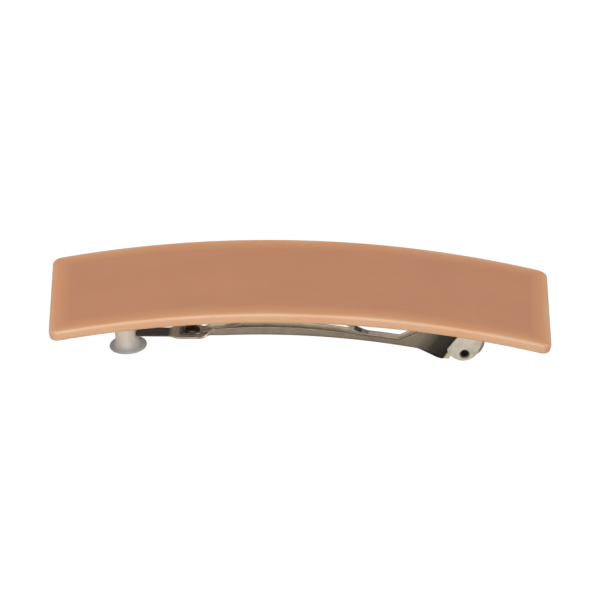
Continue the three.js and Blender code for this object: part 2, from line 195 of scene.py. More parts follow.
# a rivet's head is (radius, height); heights run from the face that the head lies on
RIVET_RIM = 0.08
RIVET_SHANK = 0.6
BRACKET_RIVET_HEAD = (1.25, 0.6)
BRACKET_RIVET_DEPTH = 1.1
BOW_RIVET_HEAD = (1.55, 0.85)
BOW_RIVET_DEPTH = 0.1
BOW_RIVET_PLAY = 0.04
BOW_RIVET_TAIL = (1.15, 0.35)
BOW_RIVET_TAIL_DEPTH = 0.2
BOW_RIVET_TAIL_BASE = 0.12

PLATE_TOP = PLATE_HIGH.z
PLATE_CENTRE_Z = PLATE_TOP - PLATE_RADIUS
UNDER_RADIUS = PLATE_RADIUS - PLATE_THICKNESS
UPSIDE_DOWN = Matrix.Rotation(math.pi, 4, "X")


def plate_under_z(x):
    """The height of the plate's underside."""
    return PLATE_CENTRE_Z + math.sqrt(UNDER_RADIUS**2 - x**2)


def arm_under_z(x):
    """The lower face of the arm: a shallow arch, then straight on under pad and tongue."""
    top = PLATE_TOP - ARM_ARCH_DROP
    if x > ARM_ARCH_START:
        start, end = ARM_DROOP_FROM
        droop = ARM_END_DROOP * smooth((x - start) / (end - start))
        return top - (x - ARM_ARCH_X) ** 2 / (2 * ARM_ARCH_RADIUS) - droop
    start = top - (ARM_ARCH_START - ARM_ARCH_X) ** 2 / (2 * ARM_ARCH_RADIUS)
    share = (ARM_ARCH_START - x) / (ARM_ARCH_START - ARM_LOW.x)
    return start + (PLATE_TOP - ARM_TIP_DROP - start) * share


def smooth(share):
    """Runs from 0 to 1 without a kink at either end."""
    share = min(max(share, 0.0), 1.0)
    return share * share * (3 - 2 * share)


def spread(start, end, count):
    """count + 1 evenly spaced values."""
    return [start + (end - start) * i / count for i in range(count + 1)]


# ---------------------------------------------------------------- mesh helpers


def linked(name, data):
    """A new object in the scene."""
    obj = bpy.data.objects.new(name, data)
    bpy.context.scene.collection.objects.link(obj)
    return obj


def new_object(name, points, faces):
    mesh = bpy.data.meshes.new(name)
    mesh.from_pydata([tuple(point) for point in points], [], faces)
    return linked(name, mesh)


def modifier(obj, kind, **settings):
    added = obj.modifiers.new(kind.lower(), kind)
    for key, value in settings.items():
        setattr(added, key, value)
    return added


def apply_modifiers(obj):
    graph = bpy.context.evaluated_depsgraph_get()
    shape = bpy.data.meshes.new_from_object(obj.evaluated_get(graph))
    obj.modifiers.clear()
    obj.data = shape


def weld(obj, distance=1e-4):
    modifier(obj, "WELD", merge_threshold=distance)
    apply_modifiers(obj)


def finish_mesh(obj, place=None, sharp_degrees=50):
    """Puts a mesh in its place, turns it into metres and shades it smooth up to a sharp angle."""
    if place is not None:
        obj.data.transform(place)
    obj.data.transform(Matrix.Scale(MM, 4))
    obj.data.shade_smooth()
    obj.data.set_sharp_from_angle(angle=math.radians(sharp_degrees))
    obj.data.update()
    return obj


def grid_faces(rows, columns, wanted=lambda row, column: True, closed=False):
    """Quads between the points of a grid that is stored row after row."""
    faces = []
    for row in range(rows - 1):
        for column in range(columns if closed else columns - 1):
            after = (column + 1) % columns
            if wanted(row, column):
                a, b = row * columns + column, row * columns + after
                faces.append((a, b, b + columns, a + columns))
    return faces


def revolved(profile, segments):
    """Points round Z, ring after ring, from (radius, height) pairs."""
    points = []
    for radius, height in profile:
        for step in range(segments):
            turn = 2 * math.pi * step / segments
            points.append((radius * math.cos(turn), radius * math.sin(turn), height))
    return points


def turned(name, profile, segments):
    """A body of revolution about Z from (radius, height) pairs that start and end on the axis."""
    faces = grid_faces(len(profile), segments, closed=True)
    obj = new_object(name, revolved(profile, segments), faces)
    weld(obj)
    return obj


def arc(centre_r, centre_h, radius, start, end, steps):
    """Points of an arc in a turned profile, from one angle in degrees to another."""
    points = []
    for angle in spread(math.radians(start), math.radians(end), steps):
        points.append((centre_r + radius * math.cos(angle), centre_h + radius * math.sin(angle)))
    return points


def bezier(start, bend, end, steps):
    """Points of a curve that leaves and arrives in the direction of its bend."""
    points = []
    for t in spread(0, 1, steps):
        a, b, c = (1 - t) ** 2, 2 * t * (1 - t), t * t
        points.append(tuple(a * p + b * q + c * r for p, q, r in zip(start, bend, end)))
    return points


def cut(obj, cutter):
    """Cuts one mesh out of another and removes the cutter."""
    modifier(obj, "BOOLEAN", operation="DIFFERENCE", object=cutter, solver="EXACT")
    apply_modifiers(obj)
    bpy.data.objects.remove(cutter)


def drill_for_pin(obj, play):
    """Cuts the hinge pin's hole, wider by some play all round."""
    radius = PIN_RADIUS + play
    profile = [(0, -DRILL_REACH), (radius, -DRILL_REACH), (radius, DRILL_REACH), (0, DRILL_REACH)]
    cutter = turned("drill", profile, 48)
    cutter.data.transform(PIN_PLACE)
    cut(obj, cutter)


# ---------------------------------------------------------------- plate


def plate_outline(inset, side_steps, end_steps, corner_steps):
    """The plate's plan, inset by a distance, as points (x, y) that run once round."""
    fillet_room = PLATE_HIGH.y - PLATE_FILLET
    half_x, half_y = PLATE_HIGH.x - inset, PLATE_HIGH.y - inset
    if inset <= PLATE_FILLET:
        corner = PLATE_CORNER - inset
    else:
        corner = (PLATE_CORNER - PLATE_FILLET) * (half_y / fillet_room)
    points = []
    for quarter in range(4):
        side_x = 1 if quarter in (0, 3) else -1
        side_y = 1 if quarter in (0, 1) else -1
        centre = (side_x * (half_x - corner), side_y * (half_y - corner))
        for turn in spread(quarter * 90, quarter * 90 + 90, corner_steps):
            angle = math.radians(turn)
            x = centre[0] + corner * math.cos(angle)
            y = centre[1] + corner * math.sin(angle)
            points.append((x, y))
        if quarter % 2 == 0:
            for x in spread(points[-1][0], -points[-1][0], side_steps)[1:-1]:
                points.append((x, points[-1][1]))
        else:
            for y in spread(points[-1][1], -points[-1][1], end_steps)[1:-1]:
                points.append((points[-1][0], y))
    return points


def onto_arch(x, y, depth):
    """A place in the flat sheet, at a depth below its face, bent onto the plate's arch."""
    turn = math.asin(x / PLATE_RADIUS)
    radius = PLATE_RADIUS - depth
    return (radius * math.sin(turn), y, PLATE_CENTRE_Z + radius * math.cos(turn))


def make_plate():
    """The arched plate: rings of its outline, from the middle of its face round to its underside."""
    fillet = []
    for turn in spread(0, math.pi / 2, 8):
        fillet.append((PLATE_FILLET * (1 - math.cos(turn)), PLATE_FILLET * (1 - math.sin(turn))))
    inner = [PLATE_FILLET + extra for extra in FACE_RINGS] + [PLATE_HIGH.y]
    top = fillet + [(inset, 0) for inset in inner]
    under = [(inset, PLATE_THICKNESS - depth) for inset, depth in top]
    points, rings = [], list(reversed(top)) + under
    for inset, depth in rings:
        outline = plate_outline(inset, 110, 34, 9)
        points += [onto_arch(x, y, depth) for x, y in outline]
    faces = grid_faces(len(rings), len(outline), closed=True)
    plate = new_object("plate_shell", points, faces)
    weld(plate, 1e-3)
    return finish_mesh(plate, sharp_degrees=80)


# ---------------------------------------------------------------- catch post


def post_profile():
    """The post's foot, bell and stem as (radius, height) pairs, up from the foot's flat."""
    under = POST_FOOT_RADIUS - POST_FOOT_FLAT
    rounding = POST_LIP_ROUNDING
    profile = [(0, 0), (POST_FOOT_FLAT * 0.5, 0), (POST_FOOT_FLAT - POST_FLAT_MARGIN, 0)]
    profile += arc(POST_FOOT_FLAT, under, under, -90, 0, 5)
    profile += arc(POST_FOOT_RADIUS - rounding, POST_LIP - rounding, rounding, 0, 80, 4)
    flare_start = (POST_FOOT_RADIUS - POST_FLARE_START[0], POST_LIP + POST_FLARE_START[1])
    flare_bend = (POST_STEM_RADIUS + POST_FLARE_BEND[0], POST_LIP + POST_FLARE_BEND[1])
    flare_end = (POST_STEM_RADIUS, POST_FLARE_TOP)
    profile += bezier(flare_start, flare_bend, flare_end, 12)
    for height in spread(POST_FLARE_TOP, POST_STEM_LENGTH, 34)[1:]:
        share = (height - POST_FLARE_TOP) / (POST_STEM_LENGTH - POST_FLARE_TOP)
        radius = POST_STEM_RADIUS + (POST_STEM_TOP_RADIUS - POST_STEM_RADIUS) * share
        profile.append((radius, height))
    profile.append((0, POST_STEM_LENGTH))
    return profile


def make_post():
    """The nylon post: turned, notched, then leant and bent towards the plate's end."""
    post = turned("post_body", post_profile(), 72)
    notch = new_object("notch", *block_corners(NOTCH_DEPTH, NOTCH_WIDTH, NOTCH_HEIGHT))
    notch.data.transform(Matrix.Translation((POST_STEM_RADIUS, 0, NOTCH_FLOOR + NOTCH_HEIGHT / 2)))
    modifier(notch, "BEVEL", width=NOTCH_ROUNDING, segments=3)
    apply_modifiers(notch)
    cut(post, notch)
    for vertex in post.data.vertices:
        vertex.co.x -= max(vertex.co.z - POST_LIP, 0) * math.tan(POST_STEM_BEND)
    foot_x = POST_LOW.x + POST_FOOT_RADIUS * math.cos(POST_LEAN)
    foot_z = POST_FOOT_FLAT * math.sin(POST_LEAN)
    place = Matrix.Translation((foot_x, 0, foot_z)) @ Matrix.Rotation(-POST_LEAN, 4, "Y")
    return finish_mesh(post, place, sharp_degrees=35)


def block_corners(depth, width, height):
    """A cutter's block about the origin, twice its depth along X: its corners and its faces."""
    corners = []
    for x in (-depth, depth):
        for y in (-width / 2, width / 2):
            for z in (-height / 2, height / 2):
                corners.append((x, y, z))
    faces = [(0, 1, 3, 2), (4, 6, 7, 5), (0, 4, 5, 1), (2, 3, 7, 6), (0, 2, 6, 4), (1, 5, 7, 3)]
    return corners, faces


# ---------------------------------------------------------------- folded sheet parts


# mesh rows in half of the arm's section
WEB_ROWS = 5
FOLD_ROWS = 4
WALL_ROWS = 12


def thickened(name, points, faces, sheet, edge_rounding):
    """A folded sheet from its middle surface, with rounded rims."""
    obj = new_object(name, points, faces)
    weld(obj)
    modifier(
        obj, "SOLIDIFY", thickness=sheet, offset=0, use_even_offset=True, use_quality_normals=True
    )
    modifier(
        obj,
        "BEVEL",
        width=edge_rounding,
        segments=3,
        limit_method="ANGLE",
        angle_limit=math.radians(50),
        use_clamp_overlap=False,
    )
    apply_modifiers(obj)
    return obj


def arm_half_width(x, height=0.0):
    """Half the strip's width at a height above its web: tongue, pad, narrow bar, flare and ears."""
    if x < ARM_LOW.x + TONGUE_END_ROUNDING:
        back = TONGUE_END_ROUNDING - (x - ARM_LOW.x)
        rounding = math.sqrt(max(TONGUE_END_ROUNDING**2 - back**2, 0))
        return TONGUE_HALF_WIDTH - TONGUE_END_ROUNDING + rounding
    if x < FLARE_START:
        neck, back = PAD_NECK_X, PAD_BACK_X
        widening = smooth((x - neck[0]) / (neck[1] - neck[0]))
        narrowing = smooth((x - back[0]) / (back[1] - back[0]))
        pad = TONGUE_HALF_WIDTH + (PAD_HALF_WIDTH - TONGUE_HALF_WIDTH) * widening
        return pad + (BAR_HALF_WIDTH - pad) * narrowing
    start = FLARE_START + FLARE_START_LEAN * height
    end = FLARE_END + FLARE_END_LEAN * height
    share = min(max((x - start) / (end - start), 0), 1)
    share += FLARE_BULGE * share * (1 - share)
    return BAR_HALF_WIDTH + (EAR_OUTER_Y - BAR_HALF_WIDTH) * share


def arm_wall_top(x):
    """How high the arm's walls reach: low along the bar, up the gusset, and round the lobe."""
    lobe_x, lobe_drop, lobe_radius = EAR_LOBE
    if x > EAR_TOP_X:
        reach = max(lobe_radius**2 - (x - lobe_x) ** 2, 0)
        return PLATE_TOP - lobe_drop + math.sqrt(reach)
    if x > GUSSET_START:
        low_x, low_z = GUSSET_START, bar_top_z(GUSSET_START)
        high_z = PLATE_TOP - lobe_drop + math.sqrt(lobe_radius**2 - (EAR_TOP_X - lobe_x) ** 2)
        bend_x, bend_z = GUSSET_BEND[0], PLATE_TOP - GUSSET_BEND[1]
        a, b = low_x - 2 * bend_x + EAR_TOP_X, 2 * (bend_x - low_x)
        t = (-b + math.sqrt(b * b - 4 * a * (low_x - x))) / (2 * a)
        return (1 - t) ** 2 * low_z + 2 * t * (1 - t) * bend_z + t * t * high_z
    return bar_top_z(x)


def bar_top_z(x):
    """The top of the channel's low wall, swollen near its middle."""
    swell = BAR_WALL_SWELL * max(1 - ((x - BAR_SWELL_X) / BAR_SWELL_REACH) ** 2, 0)
    return arm_under_z(x) + BAR_WALL + swell


def ear_bottom_z(x):
    """The ear's lower edge: straight from the web's end to the lobe, then round it."""
    lobe_x, lobe_drop, lobe_radius = EAR_LOBE
    reach = max(lobe_radius**2 - (x - lobe_x) ** 2, 0)
    lobe_z = PLATE_TOP - lobe_drop - math.sqrt(reach)
    if x > EAR_FRONT_X:
        return lobe_z
    front_z = PLATE_TOP - lobe_drop - math.sqrt(lobe_radius**2 - (EAR_FRONT_X - lobe_x) ** 2)
    start_z = arm_under_z(ARM_WEB_END) + ARM_SHEET / 2 + FOLD_RADIUS
    share = (x - ARM_WEB_END) / (EAR_FRONT_X - ARM_WEB_END)
    return start_z + (front_z - start_z) * share


def arm_section(x):
    """Half of the arm's section at a station, from its middle out to the top of a wall."""
    middle = arm_half_width(x) - ARM_SHEET / 2
    base_z = arm_under_z(x) + ARM_SHEET / 2
    share = smooth((x - FOLD_X[0]) / (FOLD_X[1] - FOLD_X[0]))
    fold = math.pi / 2 * share
    flat = max(middle - FOLD_RADIUS, middle * 0.5)
    fold_length = FOLD_RADIUS * math.pi / 2
    rise = max(arm_wall_top(x) - base_z - FOLD_RADIUS, LEAST_WALL)
    unfolded = max(arm_half_width(x) - flat - fold_length, LEAST_WALL)
    wall = unfolded + (rise - unfolded) * share
    if fold < FLAT_FOLD:
        fold = FLAT_FOLD
        flat, fold_length, wall = (arm_half_width(x) * part for part in FLAT_SHARES)
    section = [(flat * i / WEB_ROWS, 0.0) for i in range(WEB_ROWS)]
    radius = fold_length / fold
    for i in range(FOLD_ROWS + 1):
        turn = fold * i / FOLD_ROWS
        section.append((flat + radius * math.sin(turn), radius * (1 - math.cos(turn))))
    last_y, last_z = section[-1]
    for i in range(1, WALL_ROWS + 1):
        step = wall * i / WALL_ROWS
        height = last_z + step * math.sin(fold)
        lean = arm_half_width(x, height) - arm_half_width(x)
        section.append((last_y + step * math.cos(fold) + lean, height))
    return [(y, base_z + z) for y, z in section]


def ear_section(x):
    """Half a section past the web's end, where only the flat ear is left."""
    low, high = ear_bottom_z(x), arm_wall_top(x)
    base_z = arm_under_z(ARM_WEB_END) + ARM_SHEET / 2
    section = [(EAR_OUTER_Y - ARM_SHEET / 2, low)] * (WEB_ROWS + FOLD_ROWS)
    for z in spread(low, high, WALL_ROWS):
        section.append((arm_half_width(x, z - base_z) - ARM_SHEET / 2, z))
    return section


def make_arm():
    """The stamped strip, from section to section: tongue, pad, channel, flare and ears."""
    lobe_x, _, lobe_radius = EAR_LOBE
    stations = spread(ARM_LOW.x, ARM_LOW.x + TONGUE_END_ROUNDING, 6)
    stations += spread(ARM_LOW.x + TONGUE_END_ROUNDING, ARM_WEB_END, 180)[1:]
    web_stations = len(stations)
    stations += spread(ARM_WEB_END, EAR_FRONT_X, 3)[1:]
    stations += spread(EAR_FRONT_X, lobe_x, 10)[1:]
    stations += [lobe_x + lobe_radius * math.sin(turn) for turn in spread(0, math.pi / 2, 16)[1:]]
    points, half_rows = [], WEB_ROWS + FOLD_ROWS + WALL_ROWS + 1
    for number, x in enumerate(stations):
        half = arm_section(x) if number < web_stations else ear_section(x)
        points += [(x, -y, z) for y, z in reversed(half)]
        points += [(x, y, z) for y, z in half[1:]]
    columns = 2 * half_rows - 1

    def wanted(row, column):
        outer = min(column, columns - 2 - column) < WALL_ROWS
        return row < web_stations - 1 or outer

    faces = grid_faces(len(stations), columns, wanted)
    arm = thickened("arm_strip", points, faces, ARM_SHEET, SHEET_ROUNDING)
    drill_for_pin(arm, EAR_HOLE_PLAY)
    return finish_mesh(arm, sharp_degrees=40)


def lug_edges(root_z):
    """Pairs of (x, z), left and right, down the lug's sides and then round its lobe.

    root_z gives the height at which the lug starts, at a place along X.
    """
    lobe_x, lobe_drop, lobe_radius = LUG_LOBE

    def on_lobe(angle):
        height = PLATE_TOP - lobe_drop
        return lobe_x + lobe_radius * math.cos(angle), height + lobe_radius * math.sin(angle)

    angles = (LUG_LOBE_FROM, LUG_LOBE_TO)
    sides = [((x, root_z(x)), on_lobe(angle)) for x, angle in zip(LUG_ROOT_X, angles)]
    edges = []
    for share in spread(0, 1, 10)[1:]:
        edges.append([[a + (b - a) * share for a, b in zip(*side)] for side in sides])
    middle = sum(angles) / 2
    for share in spread(0, 1, 14)[1:]:
        edges.append([on_lobe(angle + (middle - angle) * share) for angle in angles])
    return edges


def make_bracket():
    """The bent bracket: a flange on the plate, with a lug folded down from each long side."""
    middle_y = BRACKET_HIGH.y - LUG_SHEET / 2
    fold_y = middle_y - LUG_FOLD_RADIUS
    fold_rows = 5
    lug_from, lug_to = 2, 12
    columns_x = spread(BRACKET_HIGH.x - FLANGE_LENGTH, LUG_ROOT_X[0], lug_from)[:-1]
    columns_x += spread(*LUG_ROOT_X, lug_to - lug_from)
    columns_x += spread(LUG_ROOT_X[1], BRACKET_HIGH.x, 10)[1:]

    def seat_z(x):
        return plate_under_z(x) - SEAT_GAP - LUG_SHEET / 2

    def flange_row(y, drop):
        return [(x, y, seat_z(x) - drop) for x in columns_x]

    half = [flange_row(y, 0) for y in spread(0, fold_y, 6)]
    for turn in spread(0, math.pi / 2, fold_rows)[1:]:
        y = fold_y + LUG_FOLD_RADIUS * math.sin(turn)
        half.append(flange_row(y, LUG_FOLD_RADIUS * (1 - math.cos(turn))))

    edges = lug_edges(lambda x: seat_z(x) - LUG_FOLD_RADIUS)
    for left, right in edges:
        row = []
        for number in range(len(columns_x)):
            share = min(max((number - lug_from) / (lug_to - lug_from), 0), 1)
            x, z = (a + (b - a) * share for a, b in zip(left, right))
            row.append((x, middle_y, z))
        half.append(row)

    rows = [[(x, -y, z) for x, y, z in row] for row in reversed(half)] + half[1:]
    points = [point for row in rows for point in row]

    def wanted(row, column):
        depth = min(row, len(rows) - 2 - row)
        on_flange = depth >= len(edges) + fold_rows
        return on_flange or lug_from <= column < lug_to

    faces = grid_faces(len(rows), len(columns_x), wanted)
    bracket = thickened("bracket_strip", points, faces, LUG_SHEET, SHEET_ROUNDING)
    drill_for_pin(bracket, LUG_HOLE_PLAY)
    return finish_mesh(bracket, sharp_degrees=40)


def make_pin():
    """The hollow hinge pin, open at both ends, with rolled rims."""
    rim, segments = PIN_RIM, 48
    bore = PIN_RADIUS * PIN_BORE_SHARE
    end = PIN_HIGH.y - rim
    heights = spread(-end, end, 12)[1:-1]
    profile = arc(bore + rim, -end, rim, 180, 270, 3)
    profile += arc(PIN_RADIUS - rim, -end, rim, 270, 360, 3)
    profile += [(PIN_RADIUS, height) for height in heights]
    profile += arc(PIN_RADIUS - rim, end, rim, 0, 90, 3)
    profile += arc(bore + rim, end, rim, 90, 180, 3)
    profile += [(bore, height) for height in reversed(heights)]
    profile.append(profile[0])
    faces = grid_faces(len(profile), segments, closed=True)
    pin = new_object("pin_tube", revolved(profile, segments), faces)
    weld(pin)
    return finish_mesh(pin, PIN_PLACE)


# ---------------------------------------------------------------- bow and rivets


def rounded_line(guides, steps):
    """A centripetal Catmull-Rom curve through points (x, z)."""
    ends = [2 * guides[0] - guides[1]] + guides + [2 * guides[-1] - guides[-2]]
    line = []
    for number in range(len(guides) - 1):
        p0, p1, p2, p3 = ends[number : number + 4]
        t1 = math.sqrt((p1 - p0).length)
        t2 = t1 + math.sqrt((p2 - p1).length)
        t3 = t2 + math.sqrt((p3 - p2).length)
        for t in spread(t1, t2, steps)[:-1]:
            a1 = p0 * ((t1 - t) / t1) + p1 * (t / t1)
            a2 = p1 * ((t2 - t) / (t2 - t1)) + p2 * ((t - t1) / (t2 - t1))
            a3 = p2 * ((t3 - t) / (t3 - t2)) + p3 * ((t - t2) / (t3 - t2))
            b1 = a1 * ((t2 - t) / t2) + a2 * (t / t2)
            b2 = a2 * ((t3 - t) / (t3 - t1)) + a3 * ((t - t1) / (t3 - t1))
            line.append(b1 * ((t2 - t) / (t2 - t1)) + b2 * ((t - t1) / (t2 - t1)))
    return line + [guides[-1]]


def on_pad(x, lift=0.0):
    """A place (x, z) in the bow's middle surface, lying on the arm's pad or lifted off it."""
    return Vector((x, arm_under_z(x) + ARM_SHEET + SEAT_GAP + BOW_SHEET / 2 + lift))


def make_bow():
    """The leaf spring: a riveted tab, then a narrow arch whose free end lies in the channel."""
    guides = [on_pad(BOW_LOW.x), on_pad((BOW_LOW.x + BOW_LIFT_X) / 2)]
    guides.append(on_pad(BOW_LIFT_X, BOW_LIFT))
    guides += [Vector((x, z + BOW_SHEET / 2)) for x, z in BOW_CROWN]
    line = rounded_line(guides, 14)
    columns = 12
    points = []
    for place in line:
        tab = smooth((BOW_TAB_END + BOW_TAB_TAPER / 2 - place.x) / BOW_TAB_TAPER)
        half_width = BOW_HALF_WIDTH + (BOW_TAB_HALF_WIDTH - BOW_HALF_WIDTH) * tab
        corner = half_width * BOW_CORNER_SHARE
        from_end = min(place.x - line[0].x, line[-1].x - place.x)
        back = max(corner - from_end, 0)
        width = half_width - corner + math.sqrt(max(corner**2 - back**2, 0))
        points += [(place.x, width * share, place.y) for share in spread(-1, 1, columns)]
    faces = grid_faces(len(line), columns + 1)
    bow = thickened("bow_leaf", points, faces, BOW_SHEET, BOW_ROUNDING)
    return finish_mesh(bow, sharp_degrees=40)


def make_head_rivet(name, place, head, depth, base):
    """A domed head with a rolled rim on a plain shank.

    The head is (radius, height) and stands at a base height; the shank ends at a depth under zero.
    """
    radius, height = head
    rim = RIVET_RIM
    profile = [(0, -depth), (RIVET_SHANK, -depth), (RIVET_SHANK, base), (radius - rim, base)]
    profile += arc(radius - rim, base + rim, rim, -90, 0, 3)[1:]
    for turn in spread(0, math.pi / 2, 12)[:-1]:
        profile.append((radius * math.cos(turn), base + rim + (height - rim) * math.sin(turn)))
    profile.append((0, base + height))
    return finish_mesh(turned(name, profile, 48), place, sharp_degrees=45)


def middle_x(node):
    low, high = box_mm(node)
    return (low.x + high.x) / 2


def make_bracket_rivet(name, node):
    """A rivet up through the flange into the plate, square to the plate's underside."""
    x = middle_x(node)
    lean = math.asin(x / UNDER_RADIUS)
    under = Matrix.Translation((x, 0, plate_under_z(x))) @ Matrix.Rotation(lean, 4, "Y")
    seat = SEAT_GAP + LUG_SHEET + SEAT_GAP
    return make_head_rivet(name, under @ UPSIDE_DOWN, BRACKET_RIVET_HEAD, BRACKET_RIVET_DEPTH, seat)


def make_bow_rivet():
    """The rivet through pad and bow, as its domed head above and its flat tail below."""
    x = middle_x("bow_rivet")
    base = ARM_SHEET + BOW_SHEET + 2 * SEAT_GAP + BOW_RIVET_PLAY
    place = Matrix.Translation((x, 0, arm_under_z(x)))
    head = make_head_rivet("bow_rivet_head", place, BOW_RIVET_HEAD, BOW_RIVET_DEPTH, base)
    tail_spot = (BOW_RIVET_TAIL, BOW_RIVET_TAIL_DEPTH, BOW_RIVET_TAIL_BASE)
    tail = make_head_rivet("bow_rivet_tail", place @ UPSIDE_DOWN, *tail_spot)
    return head, tail


# ---------------------------------------------------------------- colours, painted rim light and painted reflections

# painted light: paler tans painted in at the acetate's rims and sides; FACE_TAN is its own colour
PAINTED_RIM_LIGHT = (0.57, 0.345, 0.21)
PAINTED_EDGE_LIGHT = (0.53, 0.25, 0.12)
FACE_TAN = (0.45, 0.2, 0.105)
ACETATE_GLOW = (1.0, 0.45, 0.25)
# how far in from the outline the painted rim light reaches, and how much it wobbles
PAINTED_LIGHT_DEPTH = 0.0042  # metres from the rim to where the face has its full colour
PAINTED_LIGHT_WOBBLE = 0.0006
NYLON_SHADES = (0.71, 0.675, 0.58), (0.79, 0.755, 0.665)
NYLON_GLOW = (1.0, 0.85, 0.65)

# metals: a paler and a darker tone of each
DULL_NICKEL = (0.76, 0.74, 0.66), (0.58, 0.56, 0.49)
ARM_NICKEL = (0.95, 0.85, 0.68), (0.78, 0.68, 0.52)
SPRING_NICKEL = (0.7, 0.67, 0.62), (0.5, 0.47, 0.42)
# a very dark steel tone for the bow rivet
DARK_RIVET_STEEL = (0.13, 0.11, 0.08), (0.06, 0.05, 0.035)
PIN_STEEL = (0.34, 0.32, 0.29), (0.2, 0.19, 0.17)

# the part of a noise's values that is spread over a full range
NOISE_SPAN = (0.3, 0.7)

# painted reflections and shade: (place along the barrette in mm, shade), bands painted into the
# metal's colour, standing in for a room's reflections and for the shade under the plate
PAINTED_REFLECTION_SLANT = 0.6
ARM_PAINTED_REFLECTIONS = [
    (-34, 0.07),
    (-27.4, 0.08),
    (-26.6, 0.6),
    (-19.6, 0.55),
    (-19.2, 0.38),
    (16, 0.36),
    (21, 0.32),
    (23.7, 0.05),
    (26.95, 0.01),
    (27.1, 1.0),
    (29.5, 1.0),
    (30.5, 0.4),
]
# painted reflections and shade on the bow: dark bands painted into its colour
BOW_PAINTED_REFLECTIONS = [
    (-26, 0.5),
    (-25, 0.15),
    (-22.6, 0.15),
    (-22, 0.6),
    (6.9, 0.9),
    (7.2, 0.1),
    (8.8, 0.1),
    (9, 0.6),
]


# ---------------------------------------------------------------- materials


class Nodes:
    """A material's node tree, with short calls to add and join nodes."""

    def __init__(self, name):
        self.material = bpy.data.materials.new(name)
        self.material.use_nodes = True
        self.tree = self.material.node_tree
        self.shader = self.tree.nodes["Principled BSDF"]
        self.place = self.add("ShaderNodeTexCoord").outputs["Object"]

    def add(self, kind, **settings):
        """A new node with some of its properties set."""
        node = self.tree.nodes.new(kind)
        for key, value in settings.items():
            setattr(node, key, value)
        return node

    def join(self, output, socket):
        self.tree.links.new(output, socket)

    def set(self, **values):
        """Sets the shader's own values, such as IOR."""
        for key, value in values.items():
            self.shader.inputs[key.replace("_", " ")].default_value = value

    def scaled(self, scale):
        """Object coordinates stretched by a scale on each axis."""
        node = self.add("ShaderNodeMapping")
        node.inputs["Scale"].default_value = scale
        self.join(self.place, node.inputs["Vector"])
        return node.outputs["Vector"]

    def noise(self, vector, scale, detail=3.0, roughness=0.5):
        node = self.add("ShaderNodeTexNoise")
        node.inputs["Scale"].default_value = scale
        node.inputs["Detail"].default_value = detail
        node.inputs["Roughness"].default_value = roughness
        self.join(vector, node.inputs["Vector"])
        return node.outputs["Fac"]

    def ramp(self, value, stops):
        """Maps 0..1 onto colours; stops are (position, colour)."""
        node = self.add("ShaderNodeValToRGB")
        elements = node.color_ramp.elements
        while len(elements) < len(stops):
            elements.new(0.5)
        for element, (position, colour) in zip(elements, stops):
            element.position = position
            element.color = (*colour, 1)
        self.join(value, node.inputs["Fac"])
        return node.outputs["Color"]

    def axes(self, vector):
        """The X, Y and Z of a vector."""
        node = self.add("ShaderNodeSeparateXYZ")
        self.join(vector, node.inputs[0])
        return node.outputs

    def times(self, colour, other):
        """Two colours multiplied."""
        node = self.add("ShaderNodeMixRGB", blend_type="MULTIPLY")
        node.inputs["Fac"].default_value = 1.0
        self.join(colour, node.inputs["Color1"])
        self.join(other, node.inputs["Color2"])
        return node.outputs[0]

    def spread_noise(self, noise, low, high):
        """A noise's usual values brought into a range."""
        return self.remap(noise, *NOISE_SPAN, low, high)

    def remap(self, value, low, high, to_low, to_high):
        node = self.add("ShaderNodeMapRange")
        numbers = {"From Min": low, "From Max": high, "To Min": to_low, "To Max": to_high}
        for socket, number in numbers.items():
            node.inputs[socket].default_value = number
        self.join(value, node.inputs["Value"])
        return node.outputs["Result"]

    def maths(self, operation, a, b=None):
        """A sum on sockets or plain numbers."""
        node = self.add("ShaderNodeMath", operation=operation)
        for socket, value in zip(node.inputs, (a, b)):
            if isinstance(value, (int, float)):
                socket.default_value = value
            elif value is not None:
                self.join(value, socket)
        return node.outputs[0]

    def bump(self, height, distance, strength=1.0, normal=None):
        node = self.add("ShaderNodeBump")
        node.inputs["Strength"].default_value = strength
        node.inputs["Distance"].default_value = distance
        self.join(height, node.inputs["Height"])
        if normal is not None:
            self.join(normal, node.inputs["Normal"])
        return node.outputs["Normal"]


